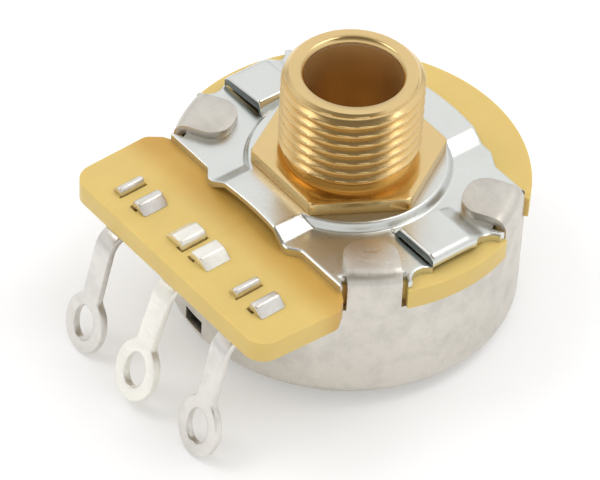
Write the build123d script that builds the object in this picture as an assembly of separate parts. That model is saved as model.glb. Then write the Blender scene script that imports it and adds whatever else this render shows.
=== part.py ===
from build123d import *
import os
from math import cos, degrees, radians, sin

# Panel potentiometer, in millimetres. The origin is the centre of the hexagon flange's front
# face, where the panel seats. +Z runs out along the threaded bushing, and the tongue with the
# three solder lugs points along -Y.

# Bushing, turned from hexagon bar
thread_d = 9.525
thread_pitch = 0.794
thread_depth = 0.487
thread_crest = thread_pitch / 8
thread_root = thread_pitch / 4
thread_land = 0.9
bushing_reach = 6.35
mouth_chamfer = 0.45
shaft_d = 6.35
running_gap = 0.075
bore_d = shaft_d + 2 * running_gap
bore_chamfer = 0.25
hex_across = 11.4
hex_corner_trim = 0.1
hex_over_corners = hex_across / cos(radians(30)) - 2 * hex_corner_trim
hex_edge_break = 0.15
hex_thick = 0.95
hex_turn = -2.3
neck_wall = 0.75
neck_d = bore_d + 2 * neck_wall
neck_past_board_face = 1.25
stake_lip = 0.95
stake_lip_d = neck_d + 2 * stake_lip
stake_lip_thick = 0.4

# Rear case, drawn from sheet
case_d = 23.9
case_wall = 0.6
case_inner_r = case_d / 2 - case_wall
case_back = 11.6
case_corner_r = 0.9
rim_cut_depth = 1.0
rim_cut_gap = 0.75
tab_width = 3.6
tab_reach = 3.75
tab_tip_r = case_d / 2 - tab_reach
tab_corner_r = 1.5
tab_bend_r = 0.4
tab_angles = [-150.0, -30.0, 30.0, 150.0]
tab_notch_gap = 0.35
tab_sweep = 40.0
stop_height = 1.1
stop_reach = 2.0
stop_tip_r = case_inner_r - stop_reach
stop_floor_gap = 0.3
window_width = 1.9

# Front plate, pressed from sheet
fit_gap = 0.03
plate_thick = 0.6
plate_turn = -1.5
boss_rise = 0.6
boss_margin = 0.22
boss_d = hex_over_corners + 2 * boss_margin
boss_slope = 0.45
plate_past_case = 0.05
plate_d = case_d + 2 * plate_past_case
plate_front_edge = 8.2
plate_back_edge = 7.68
arch_foot_half = 4.05
arch_crown_half = 2.6
arch_front_edge = 9.05
arch_draw_in = 0.5
arch_front_run = 1.3
arch_back_edge = 8.8
arch_back_half = 3.8
arch_back_run = 2.2
arch_corner_r = 0.9
pad_rise = 0.72
pad_edge_inset = 0.9
pad_edge = plate_d / 2 - pad_edge_inset
pad_length = 4.2
pad_inner = pad_edge - pad_length
pad_sheared_at = -1.85
pad_crown_end = 1.4
pad_slope_end = 2.5
ear_cut_r = 1.15
ear_cut_inset = 0.75
ear_cut_low = -3.05
ear_cut_high = 3.35

# Solder lugs
lug_thick = 0.6
lug_pitch = 6.05
lug_strip_width = 1.55
lug_base_width = 3.6
lug_base_length = 2.6
lug_bend_r = 1.5
lug_splay = {"left": 14.3, "wiper": 20.0, "right": 14.3}
lug_drop = {"left": 5.9, "wiper": 5.6, "right": 5.9}
eye_half_width = 1.85
eye_half_height = 2.25
eye_hole_half_width = 0.95
eye_hole_half_height = 1.3
eye_root_r = 0.5
prong_thick = 0.45
prong_width = 2.05
prong_half_gap = 0.35
prong_reach = {"left": 1.9, "wiper": 2.4, "right": 1.9}
prong_slope_run = 0.65
prong_bend_r = 0.5
prong_crown = 0.2
prong_slot_gap = 0.1
rim_cut_half = lug_pitch + lug_base_width / 2 + rim_cut_gap

# Element board, a disc with a tongue
board_thick = 1.6
board_past_case = 0.3
board_d = case_d + 2 * board_past_case
board_hole_gap = 0.3
board_hole_d = stake_lip_d + 2 * board_hole_gap
tongue_reach = 15.3
tongue_side = 4.1
tongue_tip_half = lug_pitch + tongue_side
tongue_taper = 0.25
tongue_root_half = tongue_tip_half + tongue_taper
tongue_root_inset = 3.25
tongue_root_y = board_d / 2 - tongue_root_inset
tongue_notch_x = 1.4
tongue_notch_y = 1.8
tongue_corner_r = 1.5
tongue_root_r = 0.8
lug_row_inset = 2.6
lug_row_y = tongue_reach - lug_row_inset
lug_bend_inset = 1.1
lug_bend_start = tongue_reach - lug_bend_inset

# Shaft and what runs on it
groove_depth = 0.625
groove_d = shaft_d - 2 * groove_depth
ring_thick = 0.6
ring_play = 0.05
ring_stand = 1.225
ring_d = shaft_d + 2 * ring_stand
ring_mouth_half = 1.9
washer_thick = 0.3
washer_past_neck = 0.6
washer_d = neck_d + 2 * washer_past_neck
shaft_end_z = 0.0
slot_width = 1.0
slot_depth = 1.4
shaft_chamfer = 0.4
tenon_step = 0.575
tenon_d = shaft_d - 2 * tenon_step
tenon_flat_depth = 0.6
tenon_flats = tenon_d - 2 * tenon_flat_depth
rivet_lip = 0.6
rivet_head_d = tenon_d + 2 * rivet_lip
rivet_head_thick = 0.4

# Printed films on the board's inner face. The two rings share the room between the
# retaining ring and the case's wall
film_thick = 0.05
track_inset = 1.55
collector_ring_gap = 1.1
track_outer_r = case_inner_r - track_inset
collector_inner_r = ring_d / 2 + collector_ring_gap
film_room = track_outer_r - collector_inner_r
track_share = 0.44
collector_share = 0.37
track_inner_r = track_outer_r - track_share * film_room
collector_outer_r = collector_inner_r + collector_share * film_room
track_half_angle = 140.0
end_pad_half_angle = 154.0
link_width = 2.2
land_width = 3.4
land_length = 3.2
lead_overlap = 0.6

# Rotor, moulded
rotor_front_gap = 1.2
rotor_side_gap = 0.95
rotor_d = 2 * (case_inner_r - rotor_side_gap)
rotor_disc_thick = 1.8
rotor_floor_gap = 0.3
rotor_wall = 0.9
rotor_edge_r = 0.3
skirt_gap = 0.35
skirt_d = 2 * (stop_tip_r - skirt_gap)
hub_wall = 1.35
hub_d = rivet_head_d + 2 * hub_wall
stop_lug_r = case_inner_r - skirt_gap
stop_clear_angle = 0.5
travel_half_angle = 150.0
rib_count = 6
post_r = 0.6
post_head_r = 0.95
post_head_thick = 0.3

# Wiper spring
spring_thick = 0.25
spring_shaft_gap = 1.0
spring_ring_width = 2.2
spring_inner_r = shaft_d / 2 + spring_shaft_gap
spring_outer_r = spring_inner_r + spring_ring_width
post_circle_r = (spring_inner_r + spring_outer_r) / 2
spring_lug_width = 2.0
finger_width = 0.6
finger_pitch = 0.8
collector_middle_r = (collector_inner_r + collector_outer_r) / 2
track_middle_r = (track_inner_r + track_outer_r) / 2
finger_rows = [
    collector_middle_r - finger_pitch / 2,
    collector_middle_r + finger_pitch / 2,
    track_middle_r - finger_pitch / 2,
    track_middle_r + finger_pitch / 2,
]
finger_root = 3.9
finger_tail = 0.6
finger_crest_half = 0.35
finger_tip_run = 0.8
finger_tip_drop = 0.35
film_gap = 0.04

# Levels along the axis, worked down from the panel seat
boss_top = -hex_thick
boss_under = boss_top - plate_thick
plate_top = boss_top - boss_rise
board_face = plate_top - plate_thick
board_back = board_face - board_thick
film_back = board_back - film_thick
case_back_z = -case_back
case_floor = case_back_z + case_wall
neck_end = board_face - neck_past_board_face
washer_back = neck_end - washer_thick
ring_front = washer_back - ring_play
ring_back = ring_front - ring_thick
rotor_front = ring_back - rotor_front_gap
rotor_disc_back = rotor_front - rotor_disc_thick
rotor_back = case_floor + rotor_floor_gap
spring_face = rotor_front + spring_thick

upright = (Align.CENTER, Align.CENTER, Align.MIN)
# Cutters run this far past an edge, and half spaces are this large
past_edge = 4.0
tall = 40.0


def disc(diameter, low, high):
    return Pos(0, 0, low) * Cylinder(diameter / 2, high - low, align=upright)


def prism(sketch, low, high):
    return extrude(Pos(0, 0, low) * sketch, amount=high - low, dir=(0, 0, 1))


def outline(points):
    return make_face(Polyline(*points, close=True))


def sector(inner_r, outer_r, start, end):
    # A flat ring from one angle to another, in degrees anticlockwise from +X
    inner = CenterArc((0, 0), inner_r, start, end - start)
    outer = CenterArc((0, 0), outer_r, start, end - start)
    sides = [Line(inner @ 0, outer @ 0), Line(inner @ 1, outer @ 1)]
    return make_face([inner, outer, *sides])


def tab_sites():
    return [Rot(0, 0, plate_turn + angle) for angle in tab_angles]


def threaded_barrel():
    # The thread's ridges stand as rings, one at each pitch, from the land by the flange to the mouth
    crest_r = thread_d / 2
    root_r = crest_r - thread_depth
    flank = (thread_pitch - thread_crest - thread_root) / 2
    grooves = int((bushing_reach - mouth_chamfer - thread_land) / thread_pitch)
    points = [(0, 0), (crest_r, 0)]
    for index in range(grooves):
        low = thread_land + index * thread_pitch
        points += [
            (crest_r, low),
            (root_r, low + flank),
            (root_r, low + flank + thread_root),
            (crest_r, low + thread_pitch - thread_crest),
        ]
    points += [(crest_r, bushing_reach), (0, bushing_reach)]
    side = make_face(Plane.XZ * Polyline(*points, close=True))
    barrel = revolve(side, Axis.Z)
    return chamfer(barrel.edges().group_by(Axis.Z)[-1], mouth_chamfer)


def make_bushing():
    hexagon = Rot(0, 0, hex_turn) * RegularPolygon(hex_across / 2, 6, major_radius=False)
    flange = prism(hexagon, boss_top, 0)
    turned = disc(hex_over_corners, boss_top, 0)
    turned = chamfer(turned.edges().group_by(Axis.Z)[-1], hex_edge_break)
    neck = disc(neck_d, neck_end, boss_top)
    lip = disc(stake_lip_d, boss_under - stake_lip_thick, boss_under)
    lip = fillet(lip.edges().group_by(Axis.Z)[0], stake_lip_thick / 2)
    body = (flange & turned) + threaded_barrel() + neck + lip
    bore = disc(bore_d, neck_end, bushing_reach)
    mouth = Pos(0, 0, bushing_reach - bore_chamfer) * Cone(
        bore_d / 2, bore_d / 2 + bore_chamfer, bore_chamfer, align=upright
    )
    return body - bore - mouth


def plate_sheet_outline():
    # The arms reach the case's tabs, and the arches stand past them front and back
    height = plate_front_edge + plate_back_edge
    band = Pos(0, (plate_back_edge - plate_front_edge) / 2) * Rectangle(plate_d, height)
    arms = Circle(plate_d / 2) & band
    front_foot = arch_foot_half + arch_front_run
    back_foot = arch_back_half + arch_back_run
    # The front edge draws back where the press lifts the sheet into the arch
    drawn = ThreePointArc(
        (-arch_foot_half, -arch_front_edge),
        (0, -arch_front_edge + arch_draw_in),
        (arch_foot_half, -arch_front_edge),
    )
    rest = Polyline(
        (arch_foot_half, -arch_front_edge),
        (front_foot, -plate_front_edge),
        (back_foot, plate_back_edge),
        (arch_back_half, arch_back_edge),
        (-arch_back_half, arch_back_edge),
        (-back_foot, plate_back_edge),
        (-front_foot, -plate_front_edge),
        (-arch_foot_half, -arch_front_edge),
    )
    sheet = arms + make_face([drawn, rest])
    corners = sheet.vertices().filter_by(lambda v: abs(v.X) < back_foot + fit_gap)
    sheet = fillet(corners, arch_corner_r)
    cut_x = pad_edge + ear_cut_inset
    side_height = ear_cut_high - ear_cut_low
    for side in (-1, 1):
        middle = (ear_cut_high + ear_cut_low) / 2
        sheet -= Pos(side * (pad_edge + past_edge / 2), middle) * Rectangle(past_edge, side_height)
        for y in (ear_cut_low, ear_cut_high):
            sheet -= Pos(side * cut_x, y) * Circle(ear_cut_r)
    inner = case_inner_r - tab_bend_r - fit_gap
    for angle in tab_angles:
        notch = Pos(inner + past_edge / 2, 0) * Rectangle(past_edge, tab_width + 2 * tab_notch_gap)
        sheet -= Rot(0, 0, angle) * notch
    return sheet


def plate_rises():
    # What the press lifts above the sheet, as solids standing on the sheet's face
    boss = Cone(boss_d / 2 + boss_slope, boss_d / 2, boss_rise, align=upright)
    arch = outline(
        [
            (-arch_foot_half, 0),
            (-arch_crown_half, boss_rise),
            (arch_crown_half, boss_rise),
            (arch_foot_half, 0),
        ]
    )
    arch = extrude(Plane.XZ * arch, amount=arch_front_edge + 1, both=True)
    pad = outline(
        [
            (pad_sheared_at, 0),
            (pad_sheared_at, pad_rise),
            (pad_crown_end, pad_rise),
            (pad_slope_end, 0),
        ]
    )
    pad = extrude(Plane.YZ * pad, amount=pad_length + past_edge)
    rises = boss + arch
    rises += Pos(pad_inner, 0, 0) * pad
    rises += mirror(Pos(pad_inner, 0, 0) * pad, about=Plane.YZ)
    return rises


def make_front_plate():
    rises = Pos(0, 0, plate_top) * plate_rises()
    sheet = Pos(0, 0, board_face) * Box(tall, tall, plate_thick, align=upright)
    sheet = sheet + rises - Pos(0, 0, -plate_thick) * rises
    blank = prism(plate_sheet_outline(), board_face, boss_top + pad_rise)
    plate = sheet & blank
    plate -= disc(neck_d + 2 * fit_gap, board_face, 0)
    return Rot(0, 0, plate_turn) * plate


def lug_sites():
    return {"left": -lug_pitch, "wiper": 0.0, "right": lug_pitch}


def prong_slots():
    # Two slots for one lug's prongs, with a web of board left between them
    middle = prong_half_gap + prong_thick / 2
    slot = Rectangle(prong_thick + 2 * prong_slot_gap, prong_width + 2 * prong_slot_gap)
    return Pos(-middle, -lug_row_y) * slot + Pos(middle, -lug_row_y) * slot


def make_element_board():
    tongue_neck_half = tongue_root_half - tongue_notch_x
    tongue_neck_y = tongue_root_y - tongue_notch_y
    tongue = outline(
        [
            (-tongue_neck_half, 0),
            (-tongue_neck_half, -tongue_neck_y),
            (-tongue_root_half, -tongue_root_y),
            (-tongue_tip_half, -tongue_reach),
            (tongue_tip_half, -tongue_reach),
            (tongue_root_half, -tongue_root_y),
            (tongue_neck_half, -tongue_neck_y),
            (tongue_neck_half, 0),
        ]
    )
    tongue = fillet(tongue.vertices().group_by(Axis.Y)[0], tongue_corner_r)
    roots = tongue.vertices().filter_by(lambda v: abs(v.Y + tongue_root_y) < fit_gap)
    tongue = fillet(roots, tongue_root_r)
    board = Circle(board_d / 2) + Rot(0, 0, plate_turn) * tongue
    inner = case_inner_r - tab_notch_gap / 2
    for site in tab_sites():
        notch = Pos(inner + past_edge / 2, 0) * Rectangle(past_edge, tab_width + 2 * tab_notch_gap)
        board -= site * notch
    board -= Circle(board_hole_d / 2)
    for x in lug_sites().values():
        board -= Pos(x, 0) * prong_slots()
    return prism(board, board_back, board_face)


def film(sketch):
    return prism(sketch, film_back, board_back)


def make_resistive_track():
    start = 90 - track_half_angle
    end = 90 + track_half_angle
    return film(sector(track_inner_r, track_outer_r, start, end))


def make_end_pad(side):
    # From the end of the track out to the solder lug on the same side
    sweep = (track_half_angle, end_pad_half_angle)
    pad = sector(track_inner_r, track_outer_r, 90 - sweep[1], 90 - sweep[0])
    top = track_outer_r * cos(radians(end_pad_half_angle)) + lead_overlap
    bottom = -lug_row_y - land_length / 2
    lead = Pos(lug_pitch, (top + bottom) / 2) * Rectangle(land_width, top - bottom)
    lead -= sector(collector_outer_r, track_outer_r, 90 - track_half_angle, 90)
    pad += lead
    pad -= Pos(lug_pitch, 0) * prong_slots()
    if side == "left":
        pad = mirror(pad, about=Plane.YZ)
    return film(pad)


def make_collector_track():
    ring = Circle(collector_outer_r) - Circle(collector_inner_r)
    bottom = -lug_row_y - land_length / 2
    top = -(collector_inner_r + collector_outer_r) / 2
    link = Pos(0, (top + bottom) / 2) * Rectangle(link_width, top - bottom)
    land = Pos(0, -lug_row_y) * Rectangle(land_width, land_length)
    return film(ring + link + land - prong_slots())


def lug_prong(reach):
    # One prong: up through the board, folded outwards and sloped down onto the board's face
    rise = prong_crown + prong_thick
    high = board_face + rise
    base = film_back - lug_thick
    inner = prong_half_gap
    path = FilletPolyline(
        (inner, base),
        (inner, high),
        (reach - prong_slope_run, high),
        (reach + prong_slope_run, high - 2 * rise),
        radius=prong_bend_r,
    )
    side = make_face(offset(path, amount=prong_thick, side=Side.RIGHT, closed=True))
    prong = extrude(Plane.XZ * side, amount=prong_width / 2, both=True)
    # The tip ends flat where the slope meets the board
    in_slot = inner + prong_thick + prong_slot_gap / 2
    beside = Box(tall, tall, tall, align=(Align.MIN, Align.CENTER, Align.MAX))
    return prong - Pos(in_slot, 0, board_face) * beside


def make_terminal(name):
    x = lug_sites()[name]
    splay = lug_splay[name]
    base_top = film_back
    base_low = film_back - lug_thick
    middle = (base_top + base_low) / 2
    base = Pos(0, -lug_row_y, base_low) * Box(lug_base_width, lug_base_length, lug_thick, align=upright)
    run = lug_bend_start - lug_row_y
    lead = Pos(0, -lug_row_y - run / 2, base_low) * Box(lug_strip_width, run, lug_thick, align=upright)
    # The bend turns from straight out to nearly straight down
    turn = 90 - splay
    outer = lug_bend_r + lug_thick / 2
    inner = lug_bend_r - lug_thick / 2
    bend = extrude(Plane.YZ * sector(inner, outer, 90, 90 + turn), amount=lug_strip_width / 2, both=True)
    bend = Pos(0, -lug_bend_start, middle - lug_bend_r) * bend
    end_y = -lug_bend_start - lug_bend_r * sin(radians(turn))
    end_z = middle - lug_bend_r * (1 - cos(radians(turn)))
    drop = lug_drop[name]
    strip = Pos(0, -drop / 2) * Rectangle(lug_strip_width, drop)
    eye = Pos(0, -drop) * Ellipse(eye_half_width, eye_half_height)
    flat = strip + eye
    roots = flat.vertices().filter_by(lambda v: -drop < v.Y < -drop / 2)
    flat = fillet(roots, eye_root_r)
    flat -= Pos(0, -drop) * Ellipse(eye_hole_half_width, eye_hole_half_height)
    facing = (0, -cos(radians(splay)), sin(radians(splay)))
    lug_plane = Plane(origin=(0, end_y, end_z), x_dir=(1, 0, 0), z_dir=facing)
    lug = extrude(lug_plane * flat, amount=lug_thick / 2, both=True)
    prong = Pos(0, -lug_row_y, 0) * lug_prong(prong_reach[name])
    terminal = base + lead + bend + lug + prong + mirror(prong, about=Plane.YZ)
    return Pos(x, 0, 0) * terminal


def case_tab():
    # A tab stands up from the case's rim and folds in over the front plate's foot
    wall_r = case_d / 2
    fold_top = plate_top + case_wall
    path = FilletPolyline(
        (wall_r, board_back),
        (wall_r, fold_top),
        (tab_tip_r - tab_bend_r, fold_top),
        radius=tab_bend_r + case_wall,
    )
    side = make_face(offset(path, amount=case_wall, side=Side.LEFT, closed=True))
    strip = Rot(0, 0, -tab_sweep / 2) * revolve(Plane.XZ * side, Axis.Z, tab_sweep)
    length = wall_r + past_edge - tab_tip_r
    flat = Pos(tab_tip_r + length / 2, 0) * Rectangle(length, tab_width)
    flat = fillet(flat.vertices().group_by(Axis.X)[0], tab_corner_r)
    return strip & prism(flat, board_back, 0)


def stop_tab():
    # Lanced from the wall and swung inwards like a door, so its middle faces the tongue
    hinge_r = case_d / 2
    length = 2 * case_wall + stop_reach
    door = Pos(0, -hinge_r - case_wall, 0) * Box(
        case_wall, length, stop_height, align=(Align.CENTER, Align.MIN, Align.MIN)
    )
    door = Pos(0, 0, case_floor + stop_floor_gap) * door
    return door & disc(case_d, case_back_z, 0)


def make_rear_case():
    shell = disc(case_d, case_back_z, board_back)
    shell = fillet(shell.edges().group_by(Axis.Z)[0], case_corner_r)
    inside = disc(2 * case_inner_r, case_floor, board_back)
    inside = fillet(inside.edges().group_by(Axis.Z)[0], case_corner_r - case_wall)
    case = shell - inside
    cut = Pos(0, -case_d / 2, board_back) * Box(2 * rim_cut_half, case_d, 2 * rim_cut_depth)
    case -= cut
    window = Pos(-case_wall / 2 - window_width / 2, -case_d / 2, case_floor + stop_floor_gap)
    case -= window * Box(window_width, 4 * case_wall, stop_height, align=upright)
    case += stop_tab()
    for site in tab_sites():
        case += site * case_tab()
    return case


def make_shaft():
    body = disc(shaft_d, rotor_front, shaft_end_z)
    body = chamfer(body.edges().group_by(Axis.Z)[-1], shaft_chamfer)
    groove = disc(shaft_d + 1, ring_back - ring_play, washer_back)
    groove -= disc(groove_d, ring_back - ring_play, washer_back)
    slot = Pos(0, 0, shaft_end_z) * Box(shaft_d + 1, slot_width, 2 * slot_depth)
    tenon = prism(tenon_section(0), rotor_back + rivet_head_thick, rotor_front)
    head = disc(rivet_head_d, rotor_back, rotor_back + rivet_head_thick)
    head = fillet(head.edges().group_by(Axis.Z)[0], rivet_head_thick / 2)
    return body - groove - slot + tenon + head


def tenon_section(gap):
    flats = Rectangle(tenon_d + 1, tenon_flats + 2 * gap)
    return Circle(tenon_d / 2 + gap) & flats


def make_thrust_washer():
    return disc(washer_d, washer_back, neck_end) - disc(bore_d, washer_back, neck_end)


def make_retaining_ring():
    outer = Circle(ring_d / 2) - Circle(groove_d / 2 + fit_gap)
    mouth = Pos(0, ring_d / 2) * Rectangle(2 * ring_mouth_half, ring_d)
    mouth += Pos(0, ring_d) * Rectangle(ring_d, ring_d)
    ring = outer - mouth
    return prism(ring, ring_back, ring_front)


def stop_lug_half_angle():
    # What is left of the half turn once the travel and the stop tab's own half width are out
    tab_half = degrees(0.5 * case_wall / stop_tip_r)
    return 180 - travel_half_angle - stop_clear_angle - tab_half


def make_rotor():
    rotor = disc(rotor_d, rotor_disc_back, rotor_front)
    rotor = fillet(rotor.edges().group_by(Axis.Z)[-1], rotor_edge_r)
    skirt = disc(skirt_d, rotor_back, rotor_disc_back)
    skirt -= disc(skirt_d - 2 * rotor_wall, rotor_back, rotor_disc_back)
    hub = disc(hub_d, rotor_back, rotor_disc_back)
    rotor = rotor + skirt + hub
    for index in range(rib_count):
        angle = 360 * (index + 0.5) / rib_count
        length = skirt_d / 2 - rotor_wall / 2
        rib = Rot(0, 0, angle) * Pos(length / 2, 0, rotor_back + rotor_wall) * Box(
            length, rotor_wall, rotor_disc_back - rotor_back - rotor_wall, align=upright
        )
        rotor += rib
    half = stop_lug_half_angle()
    lug = sector(skirt_d / 2 - rotor_wall, stop_lug_r, 90 - half, 90 + half)
    rotor += prism(lug, rotor_back, rotor_disc_back)
    rotor -= prism(tenon_section(fit_gap), rotor_back, rotor_front)
    rotor -= disc(rivet_head_d + 2 * fit_gap, rotor_back, rotor_back + rivet_head_thick + fit_gap)
    for site in post_sites():
        rotor += site * Pos(0, 0, rotor_front) * Cylinder(
            post_r, spring_thick + post_head_thick, align=upright
        )
        head = Cylinder(post_head_r, post_head_thick, align=upright)
        head = fillet(head.edges().group_by(Axis.Z)[-1], post_head_thick / 2)
        rotor += site * Pos(0, 0, spring_face) * head
    return rotor


def post_sites():
    return [Rot(0, 0, angle) * Pos(post_circle_r, 0, 0) for angle in (0, 180, 270)]


def spring_finger(row):
    # A leaf that climbs from the rotor to the film, with a rounded crest and a tip turned down
    low = rotor_front + spring_thick
    crest = film_back - film_gap
    path = FilletPolyline(
        (-finger_root - finger_tail, low),
        (-finger_root, low),
        (-finger_crest_half, crest),
        (finger_crest_half, crest),
        (finger_tip_run, crest - finger_tip_drop),
        radius=finger_crest_half / 2,
    )
    side = make_face(offset(path, amount=spring_thick, side=Side.RIGHT, closed=True))
    finger = extrude(Plane.XZ * side, amount=finger_width / 2, both=True)
    return Pos(0, row, 0) * finger


def make_wiper_spring():
    ring = Circle(spring_outer_r) - Circle(spring_inner_r)
    lug_top = finger_rows[-1] + finger_width / 2
    lug_low = spring_inner_r
    lug_x = -finger_root - spring_lug_width / 2
    lug = Pos(lug_x, (lug_top + lug_low) / 2) * Rectangle(spring_lug_width, lug_top - lug_low)
    spring = prism(ring + lug, rotor_front, spring_face)
    for row in finger_rows:
        spring += spring_finger(row)
    for site in post_sites():
        spring -= site * Pos(0, 0, rotor_front) * Cylinder(post_r + fit_gap, spring_thick, align=upright)
    return spring


nodes = {
    "bushing": make_bushing(),
    "front_plate": make_front_plate(),
    "element_board": make_element_board(),
    "resistive_track": make_resistive_track(),
    "collector_track": make_collector_track(),
    "end_pad_left": make_end_pad("left"),
    "end_pad_right": make_end_pad("right"),
    "terminal_left": make_terminal("left"),
    "terminal_wiper": make_terminal("wiper"),
    "terminal_right": make_terminal("right"),
    "rear_case": make_rear_case(),
    "shaft": make_shaft(),
    "thrust_washer": make_thrust_washer(),
    "retaining_ring": make_retaining_ring(),
    "rotor": make_rotor(),
    "wiper_spring": make_wiper_spring(),
}

os.makedirs("parts", exist_ok=True)
for name, shape in nodes.items():
    export_step(shape, "parts/" + name + ".step")
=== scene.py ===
import math
from functools import partial

import bmesh
import bpy
from bpy.props import FloatProperty, FloatVectorProperty, IntProperty, PointerProperty
from bpy.types import Operator, Panel, PropertyGroup
from mathutils import Matrix, Vector
from mathutils.geometry import delaunay_2d_cdt
from mathutils.kdtree import KDTree


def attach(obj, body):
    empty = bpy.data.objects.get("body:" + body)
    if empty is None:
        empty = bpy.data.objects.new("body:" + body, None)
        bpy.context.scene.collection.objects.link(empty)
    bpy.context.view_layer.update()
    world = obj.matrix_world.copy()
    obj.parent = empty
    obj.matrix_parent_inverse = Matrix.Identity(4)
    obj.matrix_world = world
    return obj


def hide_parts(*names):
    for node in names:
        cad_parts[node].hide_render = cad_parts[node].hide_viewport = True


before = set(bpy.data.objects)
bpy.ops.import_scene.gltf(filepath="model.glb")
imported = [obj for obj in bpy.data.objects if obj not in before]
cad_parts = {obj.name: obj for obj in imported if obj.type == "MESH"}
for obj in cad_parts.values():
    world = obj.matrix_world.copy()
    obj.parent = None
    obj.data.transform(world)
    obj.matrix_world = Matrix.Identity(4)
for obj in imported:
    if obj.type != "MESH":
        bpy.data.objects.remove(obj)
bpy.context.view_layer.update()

bl_info = {
    "name": "Panel potentiometer",
    "version": (1, 0, 0),
    "blender": (4, 5, 0),
    "location": "3D View > Sidebar > Potentiometer",
    "description": "Builds the bushing, plate, board, lugs and case of a panel potentiometer",
    "category": "Object",
}

MM = 0.001
FIXED = "housing"


def position(name, default, description, **limits):
    """A place along an axis in metres, given here in millimetres."""
    size = default * MM
    return FloatProperty(
        name=name, description=description, default=size, unit="LENGTH", precision=6, **limits
    )


def length(name, default, description):
    """A size in metres, given here in millimetres."""
    return position(name, default, description, min=0.0)


def colour(name, default, description):
    """The base colour of a finish."""
    return FloatVectorProperty(
        name=name, description=description, default=default, min=0.0, max=1.0, subtype="COLOR"
    )


def rotation(name, degrees, description):
    """A turn about the axis, given here in degrees."""
    return FloatProperty(
        name=name, description=description, default=math.radians(degrees), subtype="ANGLE"
    )


def number(name, default, description):
    """A plain number that isn't below 0."""
    return FloatProperty(name=name, description=description, default=default, min=0.0)


class BushingSizes(PropertyGroup):
    """Sizes of the threaded bushing."""

    thread_diameter: length("Thread diameter", 9.5, "Over the thread's crests")
    pitch: length("Pitch", 0.794, "From one crest to the next")
    thread_depth: length("Thread depth", 0.47, "From crest to root")
    thread_foot: position("Thread foot", 0.28, "Where the ridges start, above the turned relief")
    relief: number("Relief", 0.85, "Depth of the relief at the foot, in thread depths")
    thread_start: number("Thread start", 0.294, "Turn of the thread about the axis, in turns")
    mouth: position("Mouth", 6.35, "The end of the bushing")
    mouth_chamfer: length("Mouth chamfer", 0.5, "Outer chamfer at the mouth")
    bore_diameter: length("Bore diameter", 6.5, "The plain bore that holds the shaft")
    hex_across: length("Hexagon", 11.4, "Across the flange's flats")
    hex_corners: length("Corners", 13.05, "Across the flange's turned corners")
    hex_thickness: length("Flange thickness", 0.95, "The flange is turned this thick")
    neck_diameter: length("Neck diameter", 8.0, "Behind the flange, through plate and board")
    neck_end: position("Neck end", -3.4, "Where the neck stops behind the board")
    lip_diameter: length("Staked lip", 9.9, "The neck is staked out over the plate's back")
    hex_turn: rotation("Hexagon turn", -2.3, "Turn of the flange")
    steps: IntProperty(name="Steps", description="Facets round the bushing", default=240, min=48)


class PlateSizes(PropertyGroup):
    """Sizes of the pressed front plate."""

    thickness: length("Sheet", 0.6, "Thickness of the flat sheet")
    drawn: length("Drawn sheet", 0.42, "Thickness where the press has lifted it")
    face: position("Face", -1.55, "The flat sheet's front face")
    rise: length("Rise", 0.6, "Boss and arches stand this far above the sheet")
    boss_radius: length("Boss radius", 6.58, "The boss's flat top")
    boss_slope: length("Boss slope", 0.44, "The run of the boss's wall")
    arch_foot: length("Arch foot", 3.85, "Half the arch's width at the sheet")
    arch_crown: length("Arch crown", 2.55, "Half the arch's flat top")
    pad_rise: length("Pad rise", 0.7, "The lanced pads stand this far above the sheet")
    pad_lift: length("Pad lift", 0.28, "The left pad's inner end stands this much higher")
    pad_end: length("Pad end", 11.1, "The pads' outer ends, from the axis")
    shear: position("Shear", -1.85, "Where the pads' front edges are sheared free, along y")
    edge_round: length("Edge round", 0.09, "The sheared edges are rounded this wide")
    radius: length("Radius", 12.0, "The plate's round sides")
    neck_hole: length("Neck hole", 4.05, "Radius of the hole on the bushing's neck")
    mesh_step: length("Mesh step", 0.17, "Distance between the sheet's points")
    turn: rotation("Turn", -1.5, "Turn of the plate")


class EdgeSizes(PropertyGroup):
    """How far the edges of each piece are rounded."""

    board: length("Board edges", 0.3, "Punched laminate")
    lug: length("Lug edges", 0.13, "Stamped and tinned strip")
    case: length("Case edges", 0.16, "Drawn and plated sheet")


class ProngSizes(PropertyGroup):
    """Sizes of the lugs' clinched prongs."""

    foot: position("Prong foot", -2.2, "The prongs stand above this level")
    hollow: length("Prong hollow", 0.21, "The strip's inner side is less than this above the board")
    lean: length("Lean", 0.45, "A curled prong leans out this far")
    curl: number("Curl", 0.6, "Reach of a curled prong, as a share of its full length")


class Finishes(PropertyGroup):
    """Colours of the finishes."""

    brass: colour("Brass", (0.76, 0.56, 0.27), "Turned brass")
    bore: colour("Bore", (0.80, 0.65, 0.41), "The bore's brass, which its own reflections darken")
    zinc: colour("Zinc", (0.735, 0.75, 0.725), "Bright zinc plating")
    # Partly the bare cut steel, partly painted shade: this dark colour stands for the shadowed slot
    # under the pads
    sheared: colour("Sheared steel", (0.21, 0.24, 0.24), "The bare cut edges at the pads")
    laminate: colour("Laminate", (0.82, 0.60, 0.19), "Paper laminate of the board")
    tin: colour("Tin", (0.785, 0.76, 0.72), "Tinned brass of the outer lugs")
    pale_tin: colour("Pale tin", (0.95, 0.93, 0.86), "The middle lug's paler tin")
    nickel: colour("Case plating", (0.70, 0.665, 0.605), "Satin plating of the case")
    carbon: colour("Carbon", (0.03, 0.03, 0.035), "Carbon film")
    silver: colour("Silver", (0.75, 0.74, 0.70), "Silver print")
    moulding: colour("Moulding", (0.045, 0.045, 0.05), "The rotor's moulded plastic")
    fibre: colour("Fibre", (0.20, 0.09, 0.05), "The thrust washer's fibre")
    steel: colour("Spring steel", (0.42, 0.42, 0.43), "The retaining ring")
    bronze: colour("Spring bronze", (0.78, 0.50, 0.30), "The wiper spring")


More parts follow.
